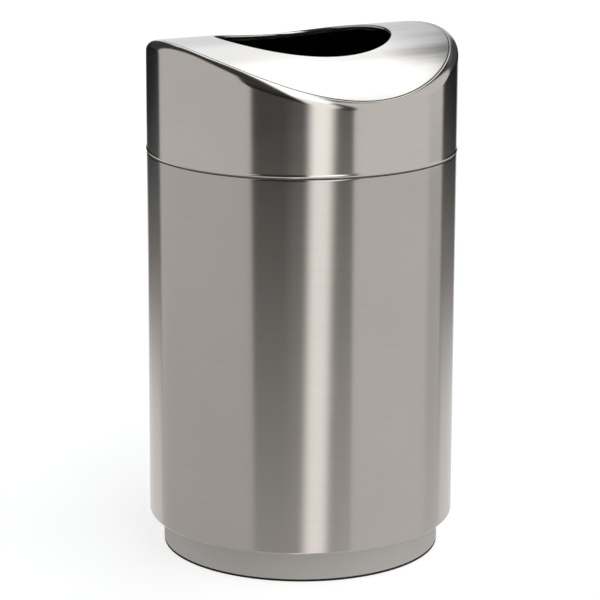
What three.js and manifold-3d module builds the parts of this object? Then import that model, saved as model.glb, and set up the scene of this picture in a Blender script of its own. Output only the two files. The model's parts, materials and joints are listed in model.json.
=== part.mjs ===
// Dome-top waste receptacle. A round satin stainless body stands on a recessed base ring, a
// lift-off cover carries an arched top panel with an oval opening, and a galvanised liner with
// two drop handles lifts out of the body once the cover is off.
// Millimetres, +Z up, origin on the floor at the centre. The crest of the arch runs along X.

import * as THREE from 'three';
import { mergeVertices } from 'three/addons/utils/BufferGeometryUtils.js';
import Module from 'manifold-3d';

const wasm = await Module();
wasm.setup();

// Fits
const SEAT_GAP = 0.3;              // between pieces that rest on, or are fixed to, each other
const COVER_CLEARANCE = 0.8;       // radial, locating ring in the mouth of the body
const BOLT_CLEARANCE = 0.35;       // radial, bolt in its holes and in its nut
const RIVET_CLEARANCE = 0.3;       // radial, rivet in its holes
const HANDLE_CLEARANCE = 0.45;     // radial, handle wire in the eye of its strap
const LINER_CLEARANCE = 2.7;       // radial, rim of the liner in the locating ring
const HANDLE_WALL_GAP = 1.0;       // hanging handle to the liner wall

// Body, base and cover sheet
const BODY_RADIUS = 254;
const BODY_HEIGHT = 668;           // floor to the flat rim of the body
const SHEET = 1.5;
const EDGE_BEND = 2.5;             // outside radius of the bends at the body's edges

const RIM_FLANGE = 12;             // flat rim turned in at the top of the body
const RIM_RETURN = 10;             // its edge, turned down
const BODY_FLANGE = 45;            // flange turned in under the body

// Base
const BASE_HEIGHT = 54.5;          // floor to the underside of the body
const BASE_SETBACK = 23.5;         // the base ring lies this far inside the body
const BASE_TOP_FLANGE = 25;
const BASE_FOOT_FLANGE = 16;
const FOOT_THICKNESS = 2.7;
const FOOT_WIDTH = 15;

// Floor pan
const PAN_RIM = 16;                // upturned edge
const PAN_RISE = 8;                // height of the raised middle
const PAN_SLOPE = 4;               // plan width of the step up to it
const PAN_TABLE_MARGIN = 3;        // raised middle past the foot of the liner

// Bolts and nuts of the base
const BOLT_COUNT = 6;
const BOLT_CIRCLE_INSET = 11.5;    // bolt circle inside the base ring's outer face
const BOLT_RADIUS = 3;
const BOLT_HEAD_ACROSS = 10;
const BOLT_HEAD_HEIGHT = 4;
const BOLT_TAIL = 1.5;             // bolt past its nut
const NUT_ACROSS = 10;
const NUT_HEIGHT = 5;

// Cover
const COVER_HEIGHT = 189.8;        // lower edge of the cover to the crest of the top
const GASKET_THICKNESS = 1.6;
const GASKET_INSET = 0.8;          // gasket behind the face of the body
const SKIRT_BEAD_HEIGHT = 5;
const SKIRT_BEAD_PROUD = 1.2;
const ARCH_RADIUS = 446;
const SHOULDER_RADIUS = 16.5;
const SHOULDER_FLANGE = 8;         // straight edge of the top panel below its shoulder
const OPENING_LENGTH = 300;        // along the crest
const OPENING_WIDTH = 266;         // across it
const LIP_BEND = 3;
const LIP_DEPTH = 9;
const LOCATOR_BAND = 24;           // band of the locating ring that is welded in the skirt
const LOCATOR_DEPTH = 24;          // band that reaches down into the body

// Liner
const LINER_SHEET = 1;
const LINER_DRAFT = 31;            // the foot of the wall lies this far inside its mouth
const LINER_RIM_DROP = 14;         // rim of the liner below the rim of the body
const LINER_BAND_HEIGHT = 96;      // straight band below the rim
const LINER_BEAD_RADIUS = 3;
const LINER_HOOP_PROUD = 3;
const LINER_HOOP_HALF = 6;         // half the height of a swaged hoop
const LINER_LOW_HOOP_HEIGHT = 150; // low hoop above the foot
const DISH_RISE = 10;              // liner floor above its foot
const DISH_CHANNEL = 6;            // width of the channel that takes the wall
const DISH_EDGE = 15;              // upturned edge outside the wall

// Handles and their straps
const HANDLE_WIDTH = 100;          // between the centres of its sides
const HANDLE_DROP = 44;            // centre of the top bar to the centre of the lower bar
const HANDLE_CORNER = 16;
const HANDLE_WIRE_RADIUS = 3;
const HANDLE_BELOW_RIM = 30;       // pivot below the rim of the liner
const STRAP_WIDTH = 40;
const STRAP_SHEET = 1.2;           // the strap is folded double above its eye
const STRAP_RISE = 24;             // pivot to the top of the strap
const STRAP_KNEE = 12;             // pivot to the bend of the strap
const RIVET_SPACING = 22;
const RIVET_RADIUS = 2.5;
const RIVET_HEAD_RADIUS = 4.5;
const RIVET_HEAD_HEIGHT = 1.8;

// Facets
const ROUND = 48;                  // steps round the body, base and cover
const LINER_ROUND = 40;
const BEND_STEPS = 2;
const SHOULDER_STEPS = 4;
const PANEL_STEPS = 4;
const SMALL_ROUND = 8;
const WIRE_ROUND = 8;
const ARC_STEPS = 3;

// Levels and radii that follow from the sizes above
const bodyInside = BODY_RADIUS - SHEET;
const rimInside = BODY_RADIUS - RIM_FLANGE;
const baseRadius = BODY_RADIUS - BASE_SETBACK;
const baseTop = BASE_HEIGHT - SEAT_GAP;
const footTop = FOOT_THICKNESS + SEAT_GAP;
const panUnderside = BASE_HEIGHT + SHEET + SEAT_GAP;
const panTable = panUnderside + PAN_RISE + SHEET;
const boltCircle = baseRadius - BOLT_CIRCLE_INSET;
const gasketBottom = BODY_HEIGHT + SEAT_GAP;
const coverBottom = gasketBottom + GASKET_THICKNESS + SEAT_GAP;
const crest = coverBottom + COVER_HEIGHT;
const archAxis = crest - ARCH_RADIUS;
const locatorRadius = rimInside - COVER_CLEARANCE;
const linerMouth = locatorRadius - SHEET - LINER_CLEARANCE - 2 * LINER_BEAD_RADIUS;
const linerFootRadius = linerMouth - LINER_DRAFT;
const panTableRadius = linerFootRadius + PAN_TABLE_MARGIN;
const linerRim = BODY_HEIGHT - LINER_RIM_DROP;
const linerFoot = panTable + SEAT_GAP;
const handlePivotHeight = linerRim - HANDLE_BELOW_RIM;
const handleReach = HANDLE_WIDTH / 2 + HANDLE_WIRE_RADIUS;
const mouthFlats = linerMouth * Math.cos(Math.PI / LINER_ROUND);
const wallAtHandle = Math.sqrt(mouthFlats ** 2 - handleReach ** 2);
const handlePivotRadius = wallAtHandle - HANDLE_WALL_GAP - HANDLE_WIRE_RADIUS;
const strapFace = Math.sqrt(mouthFlats ** 2 - (STRAP_WIDTH / 2) ** 2) - SEAT_GAP;
const strapThickness = 2 * STRAP_SHEET;
const rivetHeight = handlePivotHeight + (STRAP_KNEE + STRAP_RISE) / 2;

// ---------------------------------------------------------------- forms

function weld(geometry) {
  geometry.deleteAttribute('normal');
  geometry.deleteAttribute('uv');
  return mergeVertices(geometry, 1e-4);
}

function toSolid(geometry) {
  const welded = weld(geometry.clone());
  const vertProperties = new Float32Array(welded.attributes.position.array);
  const triVerts = new Uint32Array(welded.index.array);
  return new wasm.Manifold(new wasm.Mesh({ numProp: 3, vertProperties, triVerts }));
}

function toGeometry(solid) {
  const mesh = solid.getMesh();
  const geometry = new THREE.BufferGeometry();
  geometry.setAttribute('position', new THREE.BufferAttribute(mesh.vertProperties, 3));
  geometry.setIndex(new THREE.BufferAttribute(mesh.triVerts, 1));
  return geometry;
}

function cut(geometry, cutters) {
  let solid = toSolid(geometry);
  for (const cutter of cutters) {
    solid = solid.subtract(toSolid(cutter));
  }
  return toGeometry(solid);
}

// A section of [radius, height] pairs turned about the upright axis. It runs up on its outside.
// It either starts and ends on the axis or is closed here.
function revolve(section, steps) {
  const points = section.map(([radius, height]) => new THREE.Vector2(radius, height));
  if (points[0].x > 0) {
    points.push(points[0].clone());
  }
  return weld(new THREE.LatheGeometry(points, steps).rotateX(Math.PI / 2));
}

// A closed surface through closed loops of points, the last loop joined to the first.
function loftAround(loops) {
  const count = loops[0].length;
  const positions = loops.flat().flatMap((point) => point.toArray());
  const index = [];
  for (let loop = 0; loop < loops.length; loop += 1) {
    const next = (loop + 1) % loops.length;
    for (let k = 0; k < count; k += 1) {
      const after = (k + 1) % count;
      const a = loop * count + k;
      const b = next * count + k;
      const c = next * count + after;
      const d = loop * count + after;
      index.push(a, b, c, a, c, d);
    }
  }
  const geometry = new THREE.BufferGeometry();
  geometry.setAttribute('position', new THREE.Float32BufferAttribute(positions, 3));
  geometry.setIndex(index);
  return geometry;
}

// A path whose corners [radius, height, bend] are rounded to the bend radius given with them.
function roundedPath(path) {
  const out = [];
  path.forEach(([r, z, bend], i) => {
    const corner = new THREE.Vector2(r, z);
    if (!bend) {
      out.push(corner);
      return;
    }
    const back = new THREE.Vector2(...path[i - 1]).sub(corner).normalize();
    const ahead = new THREE.Vector2(...path[i + 1]).sub(corner).normalize();
    const half = Math.acos(back.dot(ahead)) / 2;
    const middle = back.clone().add(ahead).normalize();
    const centre = corner.clone().addScaledVector(middle, bend / Math.sin(half));
    const start = corner.clone().addScaledVector(back, bend / Math.tan(half)).sub(centre);
    const end = corner.clone().addScaledVector(ahead, bend / Math.tan(half)).sub(centre);
    const turn = Math.atan2(start.cross(end), start.dot(end));
    for (let step = 0; step <= BEND_STEPS; step += 1) {
      const spoke = start.clone().rotateAround(new THREE.Vector2(), (turn * step) / BEND_STEPS);
      out.push(centre.clone().add(spoke));
    }
  });
  return out;
}

// The face of a sheet that lies one thickness to the left of a path.
function leftOf(path, thickness) {
  return path.map((point, i) => {
    const before = point.clone().sub(path[Math.max(i - 1, 0)]).normalize();
    const after = path[Math.min(i + 1, path.length - 1)].clone().sub(point).normalize();
    const along = before.clone().add(after).normalize();
    const left = new THREE.Vector2(-along.y, along.x);
    const mitre = Math.max(along.dot(before), along.dot(after));
    return point.clone().addScaledVector(left, thickness / mitre);
  });
}

// The section of a bent sheet. The path follows its outer face, with the sheet on the left.
function sheetSection(path, thickness) {
  const outer = roundedPath(path);
  const inner = leftOf(outer, thickness).reverse();
  return [...outer, ...inner].map((point) => point.toArray());
}

function roundBar(radius, length, steps) {
  return new THREE.CylinderGeometry(radius, radius, length, steps).rotateX(Math.PI / 2);
}

function hexBar(across, length) {
  const sides = 6;
  return roundBar(across / 2 / Math.cos(Math.PI / sides), length, sides);
}

// ---------------------------------------------------------------- base and body

function boltPlaces() {
  return Array.from({ length: BOLT_COUNT }, (_, i) => {
    const angle = ((i + 0.5) * 2 * Math.PI) / BOLT_COUNT;
    return [boltCircle * Math.cos(angle), boltCircle * Math.sin(angle)];
  });
}

// Cutters that pass through the base ring's top flange, the body's flange and the floor pan.
function boltHoles() {
  const bottom = baseTop - SHEET - PAN_RISE;
  const top = panUnderside + SHEET + PAN_RISE;
  return boltPlaces().map(([x, y]) => (
    roundBar(BOLT_RADIUS + BOLT_CLEARANCE, top - bottom, SMALL_ROUND)
      .translate(x, y, (top + bottom) / 2)
  ));
}

function footRing() {
  const inner = baseRadius - FOOT_WIDTH;
  const outer = baseRadius - SEAT_GAP;
  return revolve([[inner, 0], [outer, 0], [outer, FOOT_THICKNESS], [inner, FOOT_THICKNESS]], ROUND);
}

function baseRing() {
  const section = sheetSection([
    [baseRadius - BASE_FOOT_FLANGE, footTop],
    [baseRadius, footTop, EDGE_BEND],
    [baseRadius, baseTop, EDGE_BEND],
    [baseRadius - BASE_TOP_FLANGE, baseTop],
  ], SHEET);
  return cut(revolve(section, ROUND), boltHoles());
}

function bodyShell() {
  const section = sheetSection([
    [BODY_RADIUS - BODY_FLANGE, BASE_HEIGHT],
    [BODY_RADIUS, BASE_HEIGHT, EDGE_BEND],
    [BODY_RADIUS, BODY_HEIGHT, EDGE_BEND],
    [rimInside, BODY_HEIGHT, EDGE_BEND],
    [rimInside, BODY_HEIGHT - RIM_RETURN],
  ], SHEET);
  return cut(revolve(section, ROUND), boltHoles());
}

function floorPan() {
  const rim = bodyInside - SEAT_GAP;
  const section = sheetSection([
    [0, panUnderside + PAN_RISE],
    [panTableRadius, panUnderside + PAN_RISE],
    [panTableRadius + PAN_SLOPE, panUnderside],
    [rim, panUnderside, EDGE_BEND],
    [rim, panUnderside + PAN_RIM],
  ], SHEET);
  return cut(revolve(section, ROUND), boltHoles());
}

// A bolt that stands up through the flanges. Its shank starts inside its head.
function baseBolt() {
  const headTop = baseTop - SHEET - SEAT_GAP;
  const headMiddle = headTop - BOLT_HEAD_HEIGHT / 2;
  const tip = panUnderside + SHEET + SEAT_GAP + NUT_HEIGHT + BOLT_TAIL;
  const head = hexBar(BOLT_HEAD_ACROSS, BOLT_HEAD_HEIGHT).translate(0, 0, headMiddle);
  const shank = roundBar(BOLT_RADIUS, tip - headMiddle, SMALL_ROUND);
  shank.translate(0, 0, (tip + headMiddle) / 2);
  return toGeometry(toSolid(head).add(toSolid(shank)));
}

function baseNut() {
  const bottom = panUnderside + SHEET + SEAT_GAP;
  const nut = hexBar(NUT_ACROSS, NUT_HEIGHT).translate(0, 0, bottom + NUT_HEIGHT / 2);
  const bore = roundBar(BOLT_RADIUS + BOLT_CLEARANCE, 2 * NUT_HEIGHT, SMALL_ROUND);
  bore.translate(0, 0, bottom + NUT_HEIGHT / 2);
  return cut(nut, [bore]);
}

function seatGasket() {
  const inner = rimInside + SHEET;
  const outer = BODY_RADIUS - GASKET_INSET;
  const top = gasketBottom + GASKET_THICKNESS;
  return revolve([[inner, gasketBottom], [outer, gasketBottom], [outer, top], [inner, top]], ROUND);
}

// ---------------------------------------------------------------- cover

function turns(count) {
  return Array.from({ length: count }, (_, i) => -Math.PI / 2 + (i * 2 * Math.PI) / count);
}

function spanSteps(count) {
  return Array.from({ length: count + 1 }, (_, i) => i / count);
}

// Centre of the ball that rolls along the inside of skirt and arch and leaves the shoulder.
function shoulderCentre(angle) {
  const radius = BODY_RADIUS - SHOULDER_RADIUS;
  const y = radius * Math.sin(angle);
  const rise = Math.sqrt((ARCH_RADIUS - SHOULDER_RADIUS) ** 2 - y ** 2);
  return new THREE.Vector3(radius * Math.cos(angle), y, archAxis + rise);
}

function archNormal(y) {
  return new THREE.Vector3(0, y, Math.sqrt(ARCH_RADIUS ** 2 - y ** 2)).normalize();
}

function archPoint(x, y) {
  return new THREE.Vector3(x, y, archAxis + Math.sqrt(ARCH_RADIUS ** 2 - y ** 2));
}

// A direction between two unit directions, turned at an even rate.
function between(from, to, share) {
  const angle = from.angleTo(to);
  const direction = from.clone().multiplyScalar(Math.sin((1 - share) * angle));
  return direction.addScaledVector(to, Math.sin(share * angle)).normalize();
}

// One face of the top panel along one turn, from the edge of the flange to the edge of the lip.
// The outer face has depth 0 and the inner face lies one sheet below it.
function panelFace(angle, depth) {
  const centre = shoulderCentre(angle);
  const outward = new THREE.Vector3(Math.cos(angle), Math.sin(angle), 0);
  const up = new THREE.Vector3(0, centre.y, centre.z - archAxis).normalize();
  const face = [];
  const foot = centre.clone().addScaledVector(outward, SHOULDER_RADIUS - depth);
  foot.z = centre.z - SHOULDER_FLANGE;
  face.push(foot);
  for (const share of spanSteps(SHOULDER_STEPS)) {
    const direction = between(outward, up, share);
    face.push(centre.clone().addScaledVector(direction, SHOULDER_RADIUS - depth));
  }

  const from = centre.clone().addScaledVector(up, SHOULDER_RADIUS);
  const halfLength = OPENING_LENGTH / 2;
  const halfWidth = OPENING_WIDTH / 2;
  const edge = archPoint(halfLength * Math.cos(angle), halfWidth * Math.sin(angle));
  for (const share of spanSteps(PANEL_STEPS).slice(1, -1)) {
    const plan = from.clone().lerp(edge, share);
    face.push(archPoint(plan.x, plan.y).addScaledVector(archNormal(plan.y), -depth));
  }

  const edgeNormal = archNormal(edge.y);
  const bendCentre = edge.clone().addScaledVector(edgeNormal, -LIP_BEND);
  const inward = new THREE.Vector3(-Math.cos(angle) / halfLength, -Math.sin(angle) / halfWidth, 0);
  inward.normalize();
  for (const share of spanSteps(BEND_STEPS)) {
    const direction = between(edgeNormal, inward, share);
    face.push(bendCentre.clone().addScaledVector(direction, LIP_BEND - depth));
  }
  const lip = bendCentre.clone().addScaledVector(inward, LIP_BEND - depth);
  lip.z = edge.z - LIP_DEPTH;
  face.push(lip);
  return face;
}

function topPanel() {
  return loftAround(turns(ROUND).map((angle) => (
    [...panelFace(angle, 0), ...panelFace(angle, SHEET).reverse()]
  )));
}

function coverSkirt() {
  const ring = (radius, angle, height) => (
    new THREE.Vector3(radius * Math.cos(angle), radius * Math.sin(angle), height)
  );
  const proud = BODY_RADIUS + SKIRT_BEAD_PROUD;
  return loftAround(turns(ROUND).map((angle) => {
    const top = shoulderCentre(angle).z - SHOULDER_FLANGE - SEAT_GAP;
    const beadTop = coverBottom + SKIRT_BEAD_HEIGHT;
    return [
      ring(bodyInside, angle, coverBottom),
      ring(BODY_RADIUS, angle, coverBottom),
      ring(proud, angle, coverBottom + SKIRT_BEAD_PROUD),
      ring(proud, angle, beadTop - SKIRT_BEAD_PROUD),
      ring(BODY_RADIUS, angle, beadTop),
      ring(BODY_RADIUS, angle, top),
      ring(bodyInside, angle, top),
    ];
  }));
}

function locatingRing() {
  const band = bodyInside - SEAT_GAP;
  const section = sheetSection([
    [locatorRadius, coverBottom - LOCATOR_DEPTH],
    [locatorRadius, coverBottom],
    [band, coverBottom],
    [band, coverBottom + LOCATOR_BAND],
  ], SHEET);
  return revolve(section, ROUND);
}

// ---------------------------------------------------------------- liner

// Outside of the liner's wall at a height. It tapers from a straight band at the mouth, so that
// spare liners nest, and stands in the channel of the dish below.
const wallFoot = linerFoot + LINER_SHEET + SEAT_GAP;
const bandFoot = linerRim - LINER_BAND_HEIGHT;
const taperTop = bandFoot - LINER_HOOP_HALF;
const taper = LINER_DRAFT / (taperTop - wallFoot);

function wallOutside(height) {
  return linerMouth + LINER_SHEET - taper * Math.max(taperTop - height, 0);
}

function hoop(height) {
  return [
    [wallOutside(height - LINER_HOOP_HALF), height - LINER_HOOP_HALF],
    [wallOutside(height) + LINER_HOOP_PROUD, height],
    [wallOutside(height + LINER_HOOP_HALF), height + LINER_HOOP_HALF],
  ];
}

// A cutter for one rivet: it lies along X and is as long as the strap is high.
function rivetHole(x, y, z) {
  const radius = RIVET_RADIUS + RIVET_CLEARANCE;
  const hole = new THREE.CylinderGeometry(radius, radius, STRAP_RISE, SMALL_ROUND);
  return hole.rotateZ(Math.PI / 2).translate(x, y, z);
}

function wallRivetHoles() {
  return [-1, 1].flatMap((side) => [-1, 1].map((end) => (
    rivetHole(side * linerMouth, (end * RIVET_SPACING) / 2, rivetHeight)
  )));
}

function linerWall() {
  const mouth = wallOutside(linerRim);
  const outer = roundedPath([
    [wallOutside(wallFoot), wallFoot],
    ...hoop(wallFoot + LINER_LOW_HOOP_HEIGHT),
    ...hoop(bandFoot),
    [mouth, linerRim - LINER_BEAD_RADIUS],
  ]);
  const inner = leftOf(outer, LINER_SHEET).reverse();
  outer.pop();

  const beadCentre = linerMouth + LINER_BEAD_RADIUS;
  const from = -Math.acos((mouth - beadCentre) / LINER_BEAD_RADIUS);
  const bead = spanSteps(2 * ARC_STEPS).slice(0, -1).map((share) => {
    const angle = from + (Math.PI - from) * share;
    return new THREE.Vector2(
      beadCentre + LINER_BEAD_RADIUS * Math.cos(angle),
      linerRim - LINER_BEAD_RADIUS + LINER_BEAD_RADIUS * Math.sin(angle),
    );
  });
  const section = [...outer, ...bead, ...inner].map((point) => point.toArray());
  return cut(revolve(section, LINER_ROUND), wallRivetHoles());
}

function linerBottom() {
  const wrap = LINER_SHEET + SEAT_GAP;
  const edgeTop = linerFoot + DISH_EDGE;
  const edge = wallOutside(wallFoot) + wrap;
  const riser = edge - LINER_SHEET - DISH_CHANNEL;
  const section = sheetSection([
    [0, linerFoot + DISH_RISE],
    [riser, linerFoot + DISH_RISE],
    [riser, linerFoot],
    [edge, linerFoot],
    [wallOutside(edgeTop) + wrap, edgeTop],
  ], LINER_SHEET);
  return revolve(section, LINER_ROUND);
}

// ---------------------------------------------------------------- handles

// The handle's centre line: a rectangle with round corners in the YZ plane, round its pivot bar.
function handlePath() {
  const half = HANDLE_WIDTH / 2;
  const corners = [
    [half - HANDLE_CORNER, -HANDLE_CORNER, 0],
    [-half + HANDLE_CORNER, -HANDLE_CORNER, 1],
    [-half + HANDLE_CORNER, HANDLE_CORNER - HANDLE_DROP, 2],
    [half - HANDLE_CORNER, HANDLE_CORNER - HANDLE_DROP, 3],
  ];
  return corners.flatMap(([y, z, quarter]) => spanSteps(ARC_STEPS).map((share) => {
    const angle = ((quarter + share) * Math.PI) / 2;
    return {
      centre: new THREE.Vector3(
        0,
        y + HANDLE_CORNER * Math.cos(angle),
        z + HANDLE_CORNER * Math.sin(angle),
      ),
      outward: new THREE.Vector3(0, Math.cos(angle), Math.sin(angle)),
    };
  }));
}

function liftHandle() {
  const across = new THREE.Vector3(1, 0, 0);
  return loftAround(handlePath().map(({ centre, outward }) => (
    Array.from({ length: WIRE_ROUND }, (_, i) => {
      const angle = ((i + 0.5) * 2 * Math.PI) / WIRE_ROUND;
      const spoke = outward.clone().multiplyScalar(Math.cos(angle));
      spoke.addScaledVector(across, Math.sin(angle));
      return centre.clone().addScaledVector(spoke, HANDLE_WIRE_RADIUS);
    })
  )));
}

// Where a line from a point touches a circle, on the side that is given by its sign.
function touchAngle(point, centre, radius, side) {
  const toPoint = point.clone().sub(centre);
  return toPoint.angle() + side * Math.acos(radius / toPoint.length());
}

// A strap folded double round the handle's top bar, seen along the bar: the plate stands against
// the wall, bends in towards the mouth's middle and ends in the eye. X is away from the middle.
function strap() {
  const eyeInside = HANDLE_WIRE_RADIUS + HANDLE_CLEARANCE;
  const eyeOutside = eyeInside + STRAP_SHEET;
  const face = strapFace - handlePivotRadius;
  const eye = new THREE.Vector2(0, 0);
  const outerKnee = new THREE.Vector2(face, STRAP_KNEE);
  const innerKnee = new THREE.Vector2(face - strapThickness, STRAP_KNEE);
  const outerTouch = touchAngle(outerKnee, eye, eyeOutside, -1);
  const innerTouch = touchAngle(innerKnee, eye, eyeOutside, 1);
  const outline = new THREE.Shape();
  outline.moveTo(face, STRAP_RISE);
  outline.lineTo(innerKnee.x, STRAP_RISE);
  outline.lineTo(innerKnee.x, innerKnee.y);
  outline.absarc(eye.x, eye.y, eyeOutside, innerTouch, outerTouch, false);
  outline.lineTo(outerKnee.x, outerKnee.y);
  outline.closePath();
  const bore = new THREE.Path();
  bore.absarc(eye.x, eye.y, eyeInside, 0, 2 * Math.PI, true);
  outline.holes.push(bore);
  const plate = new THREE.ExtrudeGeometry(outline, {
    depth: STRAP_WIDTH,
    bevelEnabled: false,
    curveSegments: SMALL_ROUND,
  });
  plate.translate(0, 0, -STRAP_WIDTH / 2);
  plate.rotateX(Math.PI / 2);
  const holes = [-1, 1].map((end) => (
    rivetHole(face, (end * RIVET_SPACING) / 2, rivetHeight - handlePivotHeight)
  ));
  return cut(plate, holes);
}

// A rivet along X: the formed head is inside the strap and the round head outside the wall.
function strapRivet() {
  const inner = strapFace - strapThickness - SEAT_GAP;
  const outer = linerMouth + LINER_SHEET + SEAT_GAP;
  const section = [
    [0, inner - RIVET_HEAD_HEIGHT],
    [RIVET_HEAD_RADIUS, inner - RIVET_HEAD_HEIGHT],
    [RIVET_HEAD_RADIUS, inner],
    [RIVET_RADIUS, inner],
    [RIVET_RADIUS, outer],
    [RIVET_HEAD_RADIUS, outer],
    [RIVET_HEAD_RADIUS * Math.SQRT1_2, outer + RIVET_HEAD_HEIGHT * Math.SQRT1_2],
    [0, outer + RIVET_HEAD_HEIGHT],
  ];
  return revolve(section, SMALL_ROUND).rotateY(Math.PI / 2);
}

// ---------------------------------------------------------------- materials

function stainless(roughness) {
  return new THREE.MeshStandardMaterial({ color: 0xb9b6b1, roughness, metalness: 1 });
}

const satin = stainless(0.32);
const blasted = stainless(0.7);
const plainSheet = stainless(0.45);
const galvanised = new THREE.MeshStandardMaterial({ color: 0xa7abad, roughness: 0.5, metalness: 1 });
const zincPlated = new THREE.MeshStandardMaterial({ color: 0xc3c4c0, roughness: 0.35, metalness: 1 });
const blackRubber = new THREE.MeshStandardMaterial({ color: 0x151515, roughness: 0.8, metalness: 0 });

// ---------------------------------------------------------------- assembly

const receptacle = new THREE.Group();

function place(group, name, geometry, material) {
  const mesh = new THREE.Mesh(geometry, material.clone());
  mesh.name = name;
  group.add(mesh);
  return mesh;
}

const body = new THREE.Group();
place(body, 'foot_ring', footRing(), blackRubber);
place(body, 'base_ring', baseRing(), blasted);
place(body, 'body_shell', bodyShell(), satin);
place(body, 'floor_pan', floorPan(), plainSheet);
place(body, 'seat_gasket', seatGasket(), blackRubber);
boltPlaces().forEach(([x, y], i) => {
  place(body, `base_bolt_${i + 1}`, baseBolt(), zincPlated).position.set(x, y, 0);
  place(body, `base_nut_${i + 1}`, baseNut(), zincPlated).position.set(x, y, 0);
});

const liner = new THREE.Group();
place(liner, 'liner_wall', linerWall(), galvanised);
place(liner, 'liner_bottom', linerBottom(), galvanised);
for (const [side, turn] of [['right', 0], ['left', Math.PI]]) {
  const mouthSide = new THREE.Group();
  mouthSide.rotation.z = turn;
  const handle = place(mouthSide, `${side}_handle`, liftHandle(), zincPlated);
  handle.position.set(handlePivotRadius, 0, handlePivotHeight);
  const holder = place(mouthSide, `${side}_strap`, strap(), galvanised);
  holder.position.set(handlePivotRadius, 0, handlePivotHeight);
  [-1, 1].forEach((end, i) => {
    const rivet = place(mouthSide, `${side}_rivet_${i + 1}`, strapRivet(), zincPlated);
    rivet.position.set(0, (end * RIVET_SPACING) / 2, rivetHeight);
  });
  liner.add(mouthSide);
}

const cover = new THREE.Group();
place(cover, 'cover_skirt', coverSkirt(), satin);
place(cover, 'top_panel', topPanel(), satin);
place(cover, 'locating_ring', locatingRing(), plainSheet);

receptacle.add(body, liner, cover);

export default receptacle;
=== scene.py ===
# Dome-top waste receptacle: how each piece looks. Metres, +Z up, origin on the floor at the
# centre, crest of the top along X. The pieces follow in the order in which they are put together.

import json
import math

import bmesh
import bpy
from mathutils import Matrix, Vector


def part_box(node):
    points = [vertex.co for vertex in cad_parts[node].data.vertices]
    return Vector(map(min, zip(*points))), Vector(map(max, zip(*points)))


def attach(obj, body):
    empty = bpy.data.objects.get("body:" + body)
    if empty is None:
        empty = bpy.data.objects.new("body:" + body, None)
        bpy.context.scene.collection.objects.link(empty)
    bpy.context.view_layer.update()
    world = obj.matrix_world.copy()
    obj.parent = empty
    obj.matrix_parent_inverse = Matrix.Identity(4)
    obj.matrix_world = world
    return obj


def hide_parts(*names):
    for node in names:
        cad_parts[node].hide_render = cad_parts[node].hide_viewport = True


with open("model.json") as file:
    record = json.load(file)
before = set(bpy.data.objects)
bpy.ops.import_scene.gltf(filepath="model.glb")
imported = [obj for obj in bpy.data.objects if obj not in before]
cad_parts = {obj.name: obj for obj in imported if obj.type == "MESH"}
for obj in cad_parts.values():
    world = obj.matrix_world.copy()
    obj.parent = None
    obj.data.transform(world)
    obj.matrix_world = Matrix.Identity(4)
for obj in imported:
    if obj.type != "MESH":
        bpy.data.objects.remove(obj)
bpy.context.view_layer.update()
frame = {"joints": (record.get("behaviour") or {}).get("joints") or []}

# ---------------------------------------------------------------- foot ring
# A flat ring of black rubber under the base, which keeps the steel off the floor. It is cut from
# sheet, a little smaller than the base, and cemented to the base's lower flange.

AROUND = 192
BEND_STEPS = 6
HOLD_MARGIN = 0.0004
MERGE = 1e-6
CREASE = math.radians(50)


def wire(bm, corners, closed=False):
    """A line through (radius, height, bend) corners in the XZ plane, each rounded to its bend."""
    verts = [bm.verts.new((radius, 0, height)) for radius, height, bend in corners]
    ends = verts[1:] + verts[:1] if closed else verts[1:]
    for start, end in zip(verts, ends):
        bm.edges.new((start, end))
    for vert, (radius, height, bend) in zip(verts, corners):
        if bend:
            near, far = [edge.other_vert(vert).co - vert.co for edge in vert.link_edges]
            reach = bend / math.tan(near.angle(far) / 2)
            bmesh.ops.bevel(bm, geom=[vert], offset=reach, offset_type="OFFSET",
                            segments=BEND_STEPS, profile=0.5, affect="VERTICES", material=-1)


def hold_ends(bm):
    """Short edges beside the bends of a line, so that its straight runs stay flat when shaded."""
    for edge in bm.edges[:]:
        length = edge.calc_length()
        if length > 4 * HOLD_MARGIN:
            start, end = edge.verts
            bmesh.utils.edge_split(edge, start, HOLD_MARGIN / length)
            bmesh.utils.edge_split(edge, end, HOLD_MARGIN / (length - HOLD_MARGIN))


def lathe(bm, steps):
    """Spins a line once about the upright axis, and joins its seam and its poles."""
    bmesh.ops.spin(bm, geom=bm.verts[:] + bm.edges[:], cent=(0, 0, 0), axis=(0, 0, 1),
                   dvec=(0, 0, 0), angle=2 * math.pi, steps=steps, use_merge=True,
                   use_duplicate=False)
    bmesh.ops.remove_doubles(bm, verts=bm.verts[:], dist=MERGE)
    bmesh.ops.recalc_face_normals(bm, faces=bm.faces[:])


def turn(bm):
    """Turns a line into a round surface whose straight runs stay flat when shaded."""
    hold_ends(bm)
    lathe(bm, AROUND)


def piece(bm, name, material, body, nodes):
    """Makes the finished mesh a named piece that stands for its nodes and rides on its body."""
    for face in bm.faces:
        face.smooth = True
    for edge in bm.edges:
        edge.smooth = edge.calc_face_angle(math.pi) < CREASE
    mesh = bpy.data.meshes.new(name)
    bm.to_mesh(mesh)
    bm.free()
    mesh.materials.append(material)
    made = bpy.data.objects.new(name, mesh)
    bpy.context.scene.collection.objects.link(made)
    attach(made, body)
    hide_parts(*nodes)
    return made


def new_material(name):
    """An empty material; returns it with its node tree and its shader."""
    material = bpy.data.materials.new(name)
    material.use_nodes = True
    tree = material.node_tree
    return material, tree, tree.nodes["Principled BSDF"]


def plug(tree, target, inputs):
    """Fills a node's inputs, each with a value or with another node's socket."""
    for key, value in inputs.items():
        if isinstance(value, bpy.types.NodeSocket):
            tree.links.new(value, target.inputs[key])
        else:
            target.inputs[key].default_value = value


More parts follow.
